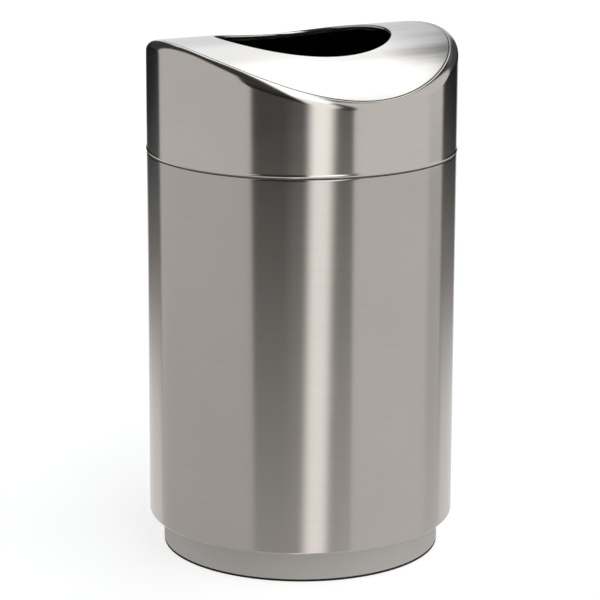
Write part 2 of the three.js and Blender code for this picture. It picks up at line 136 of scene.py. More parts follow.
def node(tree, kind, inputs=None, **settings):
    """A shader node with its settings and inputs."""
    made = tree.nodes.new("ShaderNode" + kind)
    for name, value in settings.items():
        setattr(made, name, value)
    plug(tree, made, inputs or {})
    return made


def noise(tree, scale, detail, stretch=(1, 1, 1)):
    """Noise on the piece's own coordinates, finer along an axis where its stretch is more."""
    place = node(tree, "TexCoord").outputs["Object"]
    mapped = node(tree, "Mapping", {"Vector": place, "Scale": stretch})
    made = node(tree, "TexNoise", {"Vector": mapped.outputs["Vector"], "Scale": scale,
                                   "Detail": detail})
    return made.outputs["Fac"]


def spread(tree, value, low, high, start=0.3, end=0.7):
    """Goes from low to high while the value goes from start to end."""
    return node(tree, "MapRange", {"Value": value, "From Min": start, "From Max": end,
                                   "To Min": low, "To Max": high}).outputs["Result"]


def coloured(tree, value, low, high, start=0.3, end=0.7):
    """Goes from one colour to another while the value goes from start to end."""
    ramp = node(tree, "ValToRGB", {"Fac": value})
    first, last = ramp.color_ramp.elements
    first.position, last.position = start, end
    first.color, last.color = (*low, 1), (*high, 1)
    return ramp.outputs["Color"]


def relief(tree, height, strength, depth):
    """A fine relief in the surface, too small for the mesh."""
    return node(tree, "Bump", {"Height": height, "Strength": strength,
                               "Distance": depth}).outputs["Normal"]


def rubber(name, dark, scuffed):
    """Rubber, dusty in its pores and scuffed to a lighter grey here and there."""
    material, tree, shader = new_material(name)
    scuffs = noise(tree, 60, 6)
    pores = noise(tree, 900, 3)
    plug(tree, shader, {"Base Color": coloured(tree, scuffs, dark, scuffed, 0.35, 0.8),
                        "Roughness": spread(tree, scuffs, 0.6, 0.85),
                        "Normal": relief(tree, pores, 0.4, 0.0002)})
    return material


foot_low, foot_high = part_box("foot_ring")
foot_width = 0.015
foot_edge = 0.0006
foot = bmesh.new()
wire(foot, [(foot_high.x - foot_width, foot_low.z, foot_edge),
            (foot_high.x, foot_low.z, foot_edge),
            (foot_high.x, foot_high.z, foot_edge),
            (foot_high.x - foot_width, foot_high.z, foot_edge)], closed=True)
turn(foot)
FOOT_RUBBER = rubber("black_rubber", (0.008, 0.008, 0.009), (0.030, 0.029, 0.028))
piece(foot, "rubber_foot", FOOT_RUBBER, "receptacle", ["foot_ring"])

# ---------------------------------------------------------------- base ring
# The recessed plinth: a band of stainless sheet rolled to a ring, with its edges turned in at the
# foot and at the top. It is bead-blasted, so it looks flatter than the satin body above it.

SHEET = 0.0015
BEND = 0.0025
CUT_EDGE = math.radians(60)
EDGE_BREAK = 0.125


def only(kind, parts):
    """The vertices, edges or faces among what an operator made."""
    return [part for part in parts if isinstance(part, kind)]


def wall(bm, thickness, inside_material=0):
    """Gives a surface its thickness, inwards, and takes the sharpness off its cut edges."""
    inside = bmesh.ops.solidify(bm, geom=bm.faces[:], thickness=thickness)["geom"]
    for face in only(bmesh.types.BMFace, inside):
        face.material_index = inside_material
    cut_edges = [edge for edge in bm.edges if edge.calc_face_angle(0) > CUT_EDGE]
    bmesh.ops.bevel(bm, geom=cut_edges, offset=EDGE_BREAK * thickness, offset_type="OFFSET",
                    segments=1, profile=0.5, affect="EDGES", material=-1, clamp_overlap=True)


def mix(tree, factor, first, second, kind="FLOAT"):
    """Between two numbers, vectors or colours. The node keeps a pair of inputs for each kind."""
    pair, result = {"FLOAT": (2, 0), "VECTOR": (4, 1), "RGBA": (6, 2)}[kind]
    made = node(tree, "Mix", {"Factor": factor, pair: first, pair + 1: second}, data_type=kind)
    return made.outputs[result]


def blasted():
    """The base's own finish: stainless blasted with fine beads, an even grey without a grain."""
    material, tree, shader = new_material("blasted_steel")
    dents = noise(tree, 1400, 2)
    clouds = mix(tree, 0.3, noise(tree, 7, 6), noise(tree, 240, 3))
    plug(tree, shader, {"Metallic": 1,
                        "Base Color": coloured(tree, clouds, (0.73, 0.71, 0.68), (0.82, 0.80, 0.77)),
                        "Roughness": spread(tree, clouds, 0.74, 0.82),
                        "Normal": relief(tree, dents, 0.3, 0.00005)})
    return material


base_low, base_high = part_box("base_ring")
base_foot_flange = 0.016
base_top_flange = 0.025
base = bmesh.new()
wire(base, [(base_high.x - base_foot_flange, base_low.z, 0),
            (base_high.x, base_low.z, BEND),
            (base_high.x, base_high.z, BEND),
            (base_high.x - base_top_flange, base_high.z, 0)])
turn(base)
wall(base, SHEET)
piece(base, "base_plinth", blasted(), "receptacle", ["base_ring"])

# ---------------------------------------------------------------- body shell
# The tall body: satin stainless sheet rolled and welded up the back, with a flange turned in under
# it and a flat rim turned in and down at the mouth. The weld is ground flush and doesn't show.

# The grain's lines and its broader streaks: how many to a metre across the grain, along it, and
# up the slope of an arched sheet.
SATIN_TINT = (0.68, 0.632, 0.59)
LINES_ACROSS, LINES_ALONG, LINES_UP = 1800, 14, 400
STREAKS_ACROSS, STREAKS_ALONG, STREAKS_UP = 420, 5, 100


def shaded(level):
    """The satin steel's own tint, made lighter or darker; the levels that paint light or shade use it
    too.
    """
    return [level * value for value in SATIN_TINT]


def calc(tree, operation, *values):
    """A sum on values or sockets."""
    return node(tree, "Math", dict(enumerate(values)), operation=operation).outputs[0]


def satin(name, level, crest_share=None):
    """Satin stainless. The grain lies round the walls, and along X where crest_share is 1. Its level
    paints light or shade into the tint.
    """
    material, tree, shader = new_material(name)
    lines = noise(tree, 1, 3, (LINES_ALONG, LINES_ALONG, LINES_ACROSS))
    streaks = noise(tree, 1, 4, (STREAKS_ALONG, STREAKS_ALONG, STREAKS_ACROSS))
    across = node(tree, "CombineXYZ", {"Z": 1}).outputs["Vector"]
    if crest_share:
        share = node(tree, "Attribute", attribute_name=crest_share).outputs["Fac"]
        crest_lines = noise(tree, 1, 3, (LINES_ALONG, LINES_ACROSS, LINES_UP))
        crest_streaks = noise(tree, 1, 4, (STREAKS_ALONG, STREAKS_ACROSS, STREAKS_UP))
        lines = mix(tree, share, lines, crest_lines)
        streaks = mix(tree, share, streaks, crest_streaks)
        facing = node(tree, "NewGeometry").outputs["Normal"]
        slope = node(tree, "VectorMath", {0: facing, 1: (1, 0, 0)}, operation="CROSS_PRODUCT")
        across = mix(tree, share, across, slope.outputs["Vector"], "VECTOR")
    smudges = noise(tree, 6, 6)
    clouds = mix(tree, 0.35, smudges, noise(tree, 260, 3))
    tone = mix(tree, 0.3, clouds, streaks)
    rough = calc(tree, "ADD", spread(tree, streaks, 0.137, 0.148),
                 spread(tree, smudges, -0.008, 0.014))
    plug(tree, shader, {"Metallic": 1, "Anisotropic": 0.6, "Tangent": across,
                        "Base Color": coloured(tree, tone, shaded(0.95 * level), shaded(1.05 * level)),
                        "Roughness": rough, "Normal": relief(tree, lines, 0.5, 0.00002)})
    return material


body_low, body_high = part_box("body_shell")
body_flange = 0.045
rim_flange = 0.012
rim_return = 0.010
shell = bmesh.new()
wire(shell, [(body_high.x - body_flange, body_low.z, 0),
             (body_high.x, body_low.z, BEND),
             (body_high.x, body_high.z, BEND),
             (body_high.x - rim_flange, body_high.z, BEND),
             (body_high.x - rim_flange, body_high.z - rim_return, 0)])
turn(shell)
wall(shell, SHEET)
# The body's satin is painted a little darker, level 0.95: painted shade, for how dim its reflections
# show.
piece(shell, "body_sheet", satin("satin_steel", 0.95), "receptacle",
      ["body_shell"])

# ---------------------------------------------------------------- floor pan
# A pressed pan of plain mill-finish stainless in the bottom of the body. Its middle is raised to
# carry the liner, and its edge is turned up against the wall.


def mill():
    """Plain rolled stainless: dull, with the faint cross-lines and stains of a mill finish."""
    material, tree, shader = new_material("mill_steel")
    stains = noise(tree, 14, 6)
    rolled = noise(tree, 1, 3, (1500, 12, 12))
    rough = mix(tree, 0.35, spread(tree, stains, 0.36, 0.48), spread(tree, rolled, 0.3, 0.5))
    plug(tree, shader, {"Metallic": 1,
                        "Base Color": coloured(tree, stains, (0.46, 0.455, 0.44),
                                               (0.56, 0.555, 0.545)),
                        "Roughness": rough, "Normal": relief(tree, rolled, 0.4, 0.00002)})
    return material


MILL = mill()
pan_low, pan_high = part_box("floor_pan")
foot_of_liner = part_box("liner_bottom")[0].z
SEAT_GAP = 0.0003
pan_table_radius = 0.203
pan_slope = 0.004
pan_bend = 0.004
table = foot_of_liner - SEAT_GAP - SHEET
pan = bmesh.new()
wire(pan, [(0, table, 0),
           (pan_table_radius, table, pan_bend),
           (pan_table_radius + pan_slope, pan_low.z, pan_bend),
           (pan_high.x, pan_low.z, BEND),
           (pan_high.x, pan_high.z, 0)])
turn(pan)
wall(pan, SHEET)
piece(pan, "pressed_pan", MILL, "receptacle", ["floor_pan"])

# ---------------------------------------------------------------- base bolts and nuts
# Six zinc-plated M6 hexagon bolts stand up through base ring, body flange and pan, with a nut on
# each. Their heads are reached from below, inside the base.

FASTENER_STEPS = 48
BOLT_RADIUS = 0.003
BOLT_HEAD = 0.004
BOLT_PITCH = 0.001
THREAD_DEPTH = 0.55
BORE_CLEARANCE = 0.0003
CORNER_SHARE = 0.57
CHAMFER_SHARE = 0.1
CHAMFER_ANGLE = math.radians(30)


def zinc():
    """Bright zinc plate with a faint warm cast, duller where it has been handled."""
    material, tree, shader = new_material("zinc_plate")
    clouds = noise(tree, 160, 4)
    plug(tree, shader, {"Metallic": 1,
                        "Base Color": coloured(tree, clouds, (0.60, 0.60, 0.57),
                                               (0.74, 0.74, 0.72), 0.3, 0.75),
                        "Roughness": spread(tree, clouds, 0.26, 0.42),
                        "Normal": relief(tree, noise(tree, 2200, 2), 0.25, 0.00003)})
    return material


def hexagon(bm, across, corners, closed=False):
    """A fastener turned from hexagon bar: a lathed outline cut flat on its six sides."""
    wire(bm, corners, closed)
    lathe(bm, FASTENER_STEPS)
    for i in range(6):
        facing = Matrix.Rotation(i * math.pi / 3, 3, "Z") @ Vector((1, 0, 0))
        bmesh.ops.bisect_plane(bm, geom=bm.verts[:] + bm.edges[:] + bm.faces[:], dist=MERGE,
                               plane_co=across / 2 * facing, plane_no=facing, clear_outer=True)
        bmesh.ops.edgeloop_fill(bm, edges=[edge for edge in bm.edges if edge.is_boundary])
    bmesh.ops.recalc_face_normals(bm, faces=bm.faces[:])


def thread(radius, low, high, pitch):
    """The outline of a thread: roots and crests in turn, from its first root up to its end."""
    root = radius - THREAD_DEPTH * pitch
    crests = round((high - low) / pitch)
    return [(root if i % 2 else radius, low + i * pitch / 2, 0) for i in range(1, 2 * crests)]


ZINC = zinc()
for i in range(1, 7):
    bolt_low, bolt_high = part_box(f"base_bolt_{i}")
    nut_low, nut_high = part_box(f"base_nut_{i}")
    axis = (bolt_low + bolt_high) / 2
    to_place = Matrix.Translation((axis.x, axis.y, 0))
    across = nut_high.x - nut_low.x
    corner = CORNER_SHARE * across
    chamfer = CHAMFER_SHARE * across
    slope = chamfer * math.tan(CHAMFER_ANGLE)

    bolt = bmesh.new()
    hexagon(bolt, across, [(0, bolt_low.z, 0),
                           (corner - chamfer, bolt_low.z, 0),
                           (corner, bolt_low.z + slope, 0),
                           (corner, bolt_low.z + BOLT_HEAD, 0),
                           (BOLT_RADIUS, bolt_low.z + BOLT_HEAD, 0),
                           (BOLT_RADIUS, nut_low.z - SHEET, 0)]
            + thread(BOLT_RADIUS, nut_low.z - SHEET, bolt_high.z, BOLT_PITCH)
            + [(BOLT_RADIUS - BOLT_PITCH, bolt_high.z, 0), (0, bolt_high.z, 0)])
    bmesh.ops.transform(bolt, matrix=to_place, verts=bolt.verts[:])
    piece(bolt, f"base_screw_{i}", ZINC, "receptacle", [f"base_bolt_{i}"])

    nut = bmesh.new()
    bore = BOLT_RADIUS + BORE_CLEARANCE
    hexagon(nut, across, [(bore, nut_low.z, 0),
                          (corner - chamfer, nut_low.z, 0),
                          (corner, nut_low.z + slope, 0),
                          (corner, nut_high.z - slope, 0),
                          (corner - chamfer, nut_high.z, 0),
                          (bore, nut_high.z, 0)], closed=True)
    bmesh.ops.transform(nut, matrix=to_place, verts=nut.verts[:])
    piece(nut, f"base_hex_nut_{i}", ZINC, "receptacle", [f"base_nut_{i}"])

# ---------------------------------------------------------------- seat gasket
# A thin rubber ring cemented on the body's rim. The cover stands on it, so it shows as the thin
# line of the joint. It is coloured a light grey, painted light so that the shaded joint reads as a
# light line.

gasket_low, gasket_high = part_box("seat_gasket")
gasket_inner = body_high.x - rim_flange + SHEET
gasket_edge = 0.0004
gasket = bmesh.new()
wire(gasket, [(gasket_inner, gasket_low.z, gasket_edge),
              (gasket_high.x, gasket_low.z, gasket_edge),
              (gasket_high.x, gasket_high.z, gasket_edge),
              (gasket_inner, gasket_high.z, gasket_edge)], closed=True)
turn(gasket)
# Painted light: a pale grey rubber, so that the joint reads light instead of shaded.
JOINT_LIGHT_RUBBER = rubber("lightened_rubber", (0.20, 0.196, 0.188), (0.32, 0.314, 0.30))
piece(gasket, "rim_gasket", JOINT_LIGHT_RUBBER, "receptacle", ["seat_gasket"])

# ---------------------------------------------------------------- liner wall
# The liner: a tapered can of galvanised sheet with two swaged hoops, a rolled bead at its mouth
# and a folded lock seam up its back. It lifts out once the cover is off.

LINER_SHEET = 0.001
LINER_BEAD = 0.003
LINER_DRAFT = 0.031
BEAD_FOOT_BEND = 0.0006
BEAD_ROUND = 0.98
HOOP_PROUD = 0.003
HOOP_HALF = 0.006
HOOP_SIDE_BEND = 0.006
HOOP_TOP_BEND = 0.004
LOW_HOOP = 0.150
MOUTH_BAND = 0.096
SEAM_HALF = 0.0042
SEAM_STEP = 0.0006
SEAM_PROUD = 0.0014
wall_low, wall_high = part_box("liner_wall")
mouth_radius = wall_high.x - 2 * LINER_BEAD + LINER_SHEET
taper_top = wall_high.z - MOUTH_BAND - HOOP_HALF
taper = LINER_DRAFT / (taper_top - wall_low.z)


def liner_radius(height):
    """Outside of the liner's wall, which tapers below its straight mouth."""
    return mouth_radius - taper * max(taper_top - height, 0)


def liner_side(inset):
    """The wall's face from foot to mouth, with its hoops, at a depth inside the outer face."""
    side = [(liner_radius(wall_low.z) - inset, wall_low.z, 0)]
    for middle in (wall_low.z + LOW_HOOP, wall_high.z - MOUTH_BAND):
        for rise, proud, bend in ((-HOOP_HALF, 0, HOOP_SIDE_BEND), (0, HOOP_PROUD, HOOP_TOP_BEND),
                                  (HOOP_HALF, 0, HOOP_SIDE_BEND)):
            level = middle + rise
            side.append((liner_radius(level) + proud - inset, level, bend))
    return side


def galvanised():
    """Hot-dip zinc: a spangle of crystals, each its own grey, dulled by fine stains."""
    material, tree, shader = new_material("galvanised")
    place = node(tree, "TexCoord").outputs["Object"]
    warp = node(tree, "TexNoise", {"Vector": place, "Scale": 60, "Detail": 3}).outputs["Color"]
    crystals = node(tree, "TexVoronoi", {"Vector": mix(tree, 0.012, place, warp, "VECTOR"),
                                         "Scale": 110})
    shade = node(tree, "SeparateColor", {"Color": crystals.outputs["Color"]}).outputs
    stains = noise(tree, 26, 6)
    tone = mix(tree, 0.35, shade["Red"], stains)
    rough = mix(tree, 0.4, spread(tree, shade["Green"], 0.34, 0.55, 0, 1),
                spread(tree, stains, 0.4, 0.6))
    plug(tree, shader, {"Metallic": 1,
                        "Base Color": coloured(tree, tone, (0.40, 0.42, 0.44),
                                               (0.63, 0.65, 0.66), 0.1, 0.9),
                        "Roughness": rough, "Normal": relief(tree, shade["Blue"], 0.12, 0.00015)})
    return material


GALVANISED = galvanised()
bead_bend = BEAD_ROUND * LINER_BEAD
can = bmesh.new()
wire(can, liner_side(0) + [(mouth_radius, wall_high.z - 2 * LINER_BEAD, BEAD_FOOT_BEND),
                           (wall_high.x, wall_high.z - 2 * LINER_BEAD, bead_bend),
                           (wall_high.x, wall_high.z, bead_bend),
                           (mouth_radius - LINER_SHEET, wall_high.z, bead_bend)]
     + liner_side(LINER_SHEET)[::-1], closed=True)
turn(can)
# The lock seam: four cuts up the back of the wall, and the strip between them raised.
for cut_at in (-SEAM_HALF, SEAM_STEP - SEAM_HALF, SEAM_HALF - SEAM_STEP, SEAM_HALF):
    back = [face for face in can.faces if face.calc_center_median().y > wall_high.x / 2]
    around_back = {part for face in back for part in (*face.verts, *face.edges)}
    bmesh.ops.bisect_plane(can, geom=back + list(around_back), dist=MERGE,
                           plane_co=(cut_at, 0, 0), plane_no=(1, 0, 0))
can.normal_update()
for vert in can.verts:
    plan = Vector((vert.co.x, vert.co.y, 0))
    if (vert.co.y > 0 and abs(vert.co.x) < SEAM_HALF - SEAM_STEP / 2
            and vert.co.z < wall_high.z - 3 * LINER_BEAD
            and plan.length > liner_radius(vert.co.z) - LINER_SHEET / 2):
        vert.co += SEAM_PROUD * plan.normalized()
piece(can, "liner_can", GALVANISED, "liner", ["liner_wall"])

# ---------------------------------------------------------------- liner bottom
# The liner's bottom: a pressed dish of the same galvanised sheet. Its edge is turned up round the
# foot of the wall and seamed to it, and its floor is raised clear of the ground.

dish_low, dish_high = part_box("liner_bottom")
DISH_RISE = 0.010
DISH_CHANNEL = 0.006
DISH_TOP_BEND = 0.003
DISH_FOOT_BEND = 0.002
dish_height = dish_high.z - dish_low.z
dish_foot = dish_high.x - taper * (dish_height - LINER_SHEET - SEAT_GAP)
dish_riser = dish_foot - LINER_SHEET - DISH_CHANNEL
dish = bmesh.new()
wire(dish, [(0, dish_low.z + DISH_RISE, 0),
            (dish_riser, dish_low.z + DISH_RISE, DISH_TOP_BEND),
            (dish_riser, dish_low.z, DISH_FOOT_BEND),
            (dish_foot, dish_low.z, DISH_FOOT_BEND),
            (dish_high.x, dish_high.z, 0)])
turn(dish)
wall(dish, LINER_SHEET)
piece(dish, "liner_dish", GALVANISED, "liner", ["liner_bottom"])

# ---------------------------------------------------------------- handle straps
# Two strips of galvanised sheet, each folded double round the top bar of a handle. The fold is
# the handle's eye, and the doubled plate above it is riveted inside the liner's mouth.

STRAP_SHEET = 0.0012
STRAP_KNEE = 0.012
STRAP_BEND = 0.003
EYE_STEPS = 16
FOLD_GAP = 0.00005
PIVOTS = {joint["child"].split("_")[0]: Vector(joint["pos_m"])
          for joint in frame["joints"] if joint["type"] == "hinge"}


def eye_bend(radius, start, end):
    """Points round the fold of a strap, from one angle to another."""
    angles = [start + (end - start) * i / EYE_STEPS for i in range(EYE_STEPS + 1)]
    return [(radius * math.cos(angle), radius * math.sin(angle), 0) for angle in angles]


for side, facing in (("left", math.pi), ("right", 0)):
    strap_low, strap_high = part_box(f"{side}_strap")
    pivot = PIVOTS[side]
    width = strap_high.y - strap_low.y
    top = strap_high.z - pivot.z
    eye = pivot.z - strap_low.z - STRAP_SHEET
    fold = max(abs(strap_low.x), abs(strap_high.x)) - abs(pivot.x) - STRAP_SHEET
    knee = Vector((fold, STRAP_KNEE))
    knee_angle = math.atan2(knee.y, knee.x)
    reach = math.acos(eye / knee.length)
    strap = bmesh.new()
    wire(strap, [(fold + FOLD_GAP, top, 0), (fold + FOLD_GAP, STRAP_KNEE, STRAP_BEND)]
         + eye_bend(eye, knee_angle - reach, knee_angle + reach - 2 * math.pi)
         + [(fold - FOLD_GAP, STRAP_KNEE, STRAP_BEND), (fold - FOLD_GAP, top, 0)])
    bmesh.ops.translate(strap, verts=strap.verts[:], vec=(abs(pivot.x), -width / 2, pivot.z))
    swept = bmesh.ops.extrude_edge_only(strap, edges=strap.edges[:])["geom"]
    far_side = only(bmesh.types.BMVert, swept)
    bmesh.ops.translate(strap, verts=far_side, vec=(0, width, 0))
    bmesh.ops.recalc_face_normals(strap, faces=strap.faces[:])
    # The lowest face of the fold has to point down, so that the thickness goes outwards.
    lowest = min(strap.faces, key=lambda face: face.calc_center_median().z)
    if lowest.normal.z > 0:
        bmesh.ops.reverse_faces(strap, faces=strap.faces[:])
    bmesh.ops.solidify(strap, geom=strap.faces[:], thickness=-STRAP_SHEET)
    bmesh.ops.recalc_face_normals(strap, faces=strap.faces[:])
    bmesh.ops.rotate(strap, cent=(0, 0, 0), verts=strap.verts[:],
                     matrix=Matrix.Rotation(facing, 3, "Z"))
    piece(strap, f"{side}_handle_strap", GALVANISED, "liner",
          [f"{side}_strap"])

# ---------------------------------------------------------------- strap rivets
# Four zinc-plated rivets through straps and wall: a low round head outside, a flattened one
# inside where they were set.

RIVET_RADIUS = 0.0025
RIVET_HEAD = 0.0018
RIVET_HEAD_BEND = 0.0008
SET_TOP_SHARE = 0.75
SET_DROP = 0.3
SET_BEND = 0.0012
RIVET_STEPS = 32
for side, way in (("left", -1), ("right", 1)):
    for i in (1, 2):
        rivet_low, rivet_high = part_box(f"{side}_rivet_{i}")
        length = rivet_high.x - rivet_low.x
        head = (rivet_high.z - rivet_low.z) / 2
        rivet = bmesh.new()
        wire(rivet, [(0, 0, 0),
                     (head, 0, RIVET_HEAD_BEND),
                     (head, RIVET_HEAD, 0),
                     (RIVET_RADIUS, RIVET_HEAD, 0),
                     (RIVET_RADIUS, length - RIVET_HEAD, 0),
                     (head, length - RIVET_HEAD, 0),
                     (SET_TOP_SHARE * head, length - SET_DROP * RIVET_HEAD, SET_BEND),
                     (0, length, 0)])
        lathe(rivet, RIVET_STEPS)
        middle = (rivet_low + rivet_high) / 2
        inner = min(abs(rivet_low.x), abs(rivet_high.x))
        to_wall = (Matrix.Translation((way * inner, middle.y, middle.z))
                   @ Matrix.Rotation(way * math.pi / 2, 4, "Y"))
        bmesh.ops.transform(rivet, matrix=to_wall, verts=rivet.verts[:])
        piece(rivet, f"{side}_rivet_pin_{i}", ZINC, "liner",
              [f"{side}_rivet_{i}"])

# ---------------------------------------------------------------- lift handles
# Two closed rings of zinc-plated wire, bent to round-cornered rectangles. Each turns in its strap,
# hangs against the liner's wall and swings up to lift it.

HANDLE_CORNER = 0.016
WIRE_SIDES = 20
CORNER_STEPS = 10
for side in ("left", "right"):
    bar_low, bar_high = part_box(f"{side}_handle")
    wire_radius = (bar_high.x - bar_low.x) / 2
    half_width = (bar_high.y - bar_low.y) / 2 - wire_radius
    pivot = PIVOTS[side]
    drop = pivot.z - bar_low.z - wire_radius
    straight_across = 2 * (half_width - HANDLE_CORNER)
    straight_down = drop - 2 * HANDLE_CORNER
    handle = bmesh.new()
    place = Vector((pivot.x, half_width - HANDLE_CORNER, pivot.z))
    upright = Matrix.Translation(place) @ Matrix.Rotation(math.pi / 2, 4, "X")
    bmesh.ops.create_circle(handle, cap_ends=False, radius=wire_radius, segments=WIRE_SIDES,
                            matrix=upright)
    edges = handle.edges[:]
    ahead = Vector((0, 1, 0))
    inward = Vector((0, 0, -1))
    # The end of the wire goes once round: a corner and then a straight, four times.
    for straight in (straight_down, straight_across, straight_down, straight_across):
        bent = bmesh.ops.spin(handle, geom=edges, cent=place + HANDLE_CORNER * inward,
                              axis=(1, 0, 0), dvec=(0, 0, 0), angle=-math.pi / 2,
                              steps=CORNER_STEPS, use_merge=False,
                              use_duplicate=False)["geom_last"]
        edges = only(bmesh.types.BMEdge, bent)
        place += HANDLE_CORNER * (ahead + inward)
        ahead, inward = inward, -ahead
        swept = bmesh.ops.extrude_edge_only(handle, edges=edges)["geom"]
        verts = only(bmesh.types.BMVert, swept)
        bmesh.ops.translate(handle, verts=verts, vec=straight * ahead)
        place += straight * ahead
        edges = [edge for edge in only(bmesh.types.BMEdge, swept)
                 if all(vert in verts for vert in edge.verts)]
    bmesh.ops.remove_doubles(handle, verts=handle.verts[:], dist=10 * MERGE)
    bmesh.ops.recalc_face_normals(handle, faces=handle.faces[:])
    piece(handle, f"{side}_wire_handle", ZINC, f"{side}_handle",
          [f"{side}_handle"])

# ---------------------------------------------------------------- cover
# The lift-off cover: a satin stainless band with a beaded lower edge, welded to an arched top
# whose shoulder is formed over a ball tool and whose oval opening has its edge turned down. The
# weld along the top of the shoulder is ground to a fine dip. Its inside is painted near-black, as
# painted shade.

skirt_low, skirt_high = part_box("cover_skirt")
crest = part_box("top_panel")[1].z
COVER_RADIUS = body_high.x
ARCH_RADIUS = 0.446
SHOULDER = 0.0165
OPENING_HALF_LENGTH = 0.150
OPENING_HALF_WIDTH = 0.133
LIP_BEND = 0.003
LIP_DEPTH = 0.009
BEAD_HEIGHT = 0.005
arch_axis = crest - ARCH_RADIUS
bead = skirt_high.x - COVER_RADIUS


def arch_normal(y):
    """The way that the arched top faces at a distance from its crest."""
    return Vector((0, y, math.sqrt(ARCH_RADIUS ** 2 - y ** 2))).normalized()


def arch_point(x, y):
    """A point on the arched top."""
    return Vector((x, y, arch_axis + math.sqrt(ARCH_RADIUS ** 2 - y ** 2)))


def shoulder_ball(angle):
    """Centre of the ball that rolls along the inside of band and arch, at one turn."""
    x = (COVER_RADIUS - SHOULDER) * math.cos(angle)
    y = (COVER_RADIUS - SHOULDER) * math.sin(angle)
    return Vector((x, y, arch_axis + math.sqrt((ARCH_RADIUS - SHOULDER) ** 2 - y ** 2)))


def skirt_station(radius, height):
    """A level line round the band."""
    return lambda angle: Vector((radius * math.cos(angle), radius * math.sin(angle), height))


def below_shoulder(drop):
    """A line round the band at a distance below the shoulder."""
    return lambda angle: Vector((COVER_RADIUS * math.cos(angle), COVER_RADIUS * math.sin(angle),
                                 shoulder_ball(angle).z - drop))


def shoulder_station(share):
    """A line over the shoulder, from the band at share 0 to the arch at share 1."""
    def place(angle):
        ball = shoulder_ball(angle)
        outward = Vector((math.cos(angle), math.sin(angle), 0))
        up = Vector((0, ball.y, ball.z - arch_axis)).normalized()
        return ball + SHOULDER * outward.slerp(up, share)
    return place


def opening_edge(angle):
    """Where the arch meets the bend of the lip, at one turn."""
    return arch_point(OPENING_HALF_LENGTH * math.cos(angle),
                      OPENING_HALF_WIDTH * math.sin(angle))


def panel_station(share, margin=0):
    """A line on the arch between the shoulder and the lip, moved by a margin towards the lip."""
    def place(angle):
        start = shoulder_station(1)(angle)
        end = opening_edge(angle)
        plan = start.lerp(end, share)
        plan += margin * (end - start).normalized()
        return arch_point(plan.x, plan.y)
    return place


def sunk(station, depth):
    """A line of the top moved down into the sheet."""
    def place(angle):
        point = station(angle)
        return point - depth * arch_normal(point.y)
    return place


def lip_station(share, drop=0):
    """A line round the bend of the lip, from the arch at share 0 to its vertical edge at 1."""
    def place(angle):
        edge = opening_edge(angle)
        up = arch_normal(edge.y)
        inward = Vector((-math.cos(angle) / OPENING_HALF_LENGTH,
                         -math.sin(angle) / OPENING_HALF_WIDTH, 0)).normalized()
        centre = edge - LIP_BEND * up
        point = centre + LIP_BEND * up.slerp(inward, share)
        if drop:
            point.z = edge.z - drop
        return point
    return place


def shares(count):
    """Even steps from 0 to 1."""
    return [i / count for i in range(count + 1)]


# Lines that hold the sheet's curves, and the weld's dip as shares of its width and depth.
HOLD = 0.0006
BAND_DROPS = (0.05, 0.02, HOLD)
BEAD_STEPS = 8
SHOULDER_STEPS = 16
ARCH_STEPS = 16
LIP_STEPS = 6
SEAM_WIDTH = 0.0024
SEAM_DEPTH = 0.00035
SEAM_DIP = ((0.15, 0.15), (0.5, 1), (0.85, 0.15), (1, 0), (1.4, 0))
bead_round = [(share, math.sin(math.pi * share)) for share in shares(BEAD_STEPS)]
skirt_stations = [skirt_station(COVER_RADIUS + bead * swell, skirt_low.z + BEAD_HEIGHT * rise)
                  for rise, swell in bead_round]
skirt_stations.append(skirt_station(COVER_RADIUS, skirt_low.z + BEAD_HEIGHT + HOLD))
skirt_stations += [below_shoulder(drop) for drop in BAND_DROPS]
skirt_stations += [shoulder_station(share) for share in shares(SHOULDER_STEPS)]
top_stations = [sunk(panel_station(0, SEAM_WIDTH * share), SEAM_DEPTH * depth)
                for share, depth in SEAM_DIP]
top_stations += [panel_station(share) for share in shares(ARCH_STEPS)[1:-1]]
top_stations += [panel_station(1, -HOLD)]
top_stations += [lip_station(share) for share in shares(LIP_STEPS)]
top_stations += [lip_station(1, LIP_DEPTH)]

# How much painted shade darkens the steel on the lines across the top's edge, from the shoulder
# inwards.
EDGE_PAINTED_SHADE = (0.2, 0.4, 0.55, 0.65, 0.7, 0.7, 0.7, 0.7, 0.7, 0.65, 0.45, 0.25, 0.1)
edge_stations = skirt_stations[-5:] + top_stations[:8]
edge_painted_shade = dict(zip(edge_stations, EDGE_PAINTED_SHADE))
# The weld's dip is painted dark, as painted shade in the crease.
weld_stations = top_stations[:3]

cover = bmesh.new()
# crest_share sets the grain; the weld and edge shares carry where shade is painted into the colour.
crest_share = cover.verts.layers.float.new("crest_share")
weld_shade_share = cover.verts.layers.float.new("weld_shade_share")
edge_shade_share = cover.verts.layers.float.new("edge_shade_share")
# Each line becomes a ring of the sheet's outer face, and the rings are bridged in turn.
rings = []
for station in skirt_stations + top_stations:
    ring = bmesh.ops.create_circle(cover, cap_ends=False, radius=1, segments=AROUND)["verts"]
    for vert in ring:
        vert.co = station(math.atan2(vert.co.y, vert.co.x))
        vert[crest_share] = float(station in top_stations)
        vert[weld_shade_share] = float(station in weld_stations)
        vert[edge_shade_share] = edge_painted_shade.get(station, 0.0)
    rings.append({edge for vert in ring for edge in vert.link_edges})
for lower, upper in zip(rings, rings[1:]):
    bmesh.ops.bridge_loops(cover, edges=list(lower | upper))
bmesh.ops.recalc_face_normals(cover, faces=cover.faces[:])
# The inside faces take the second material, which is painted shade.
wall(cover, SHEET, inside_material=1)


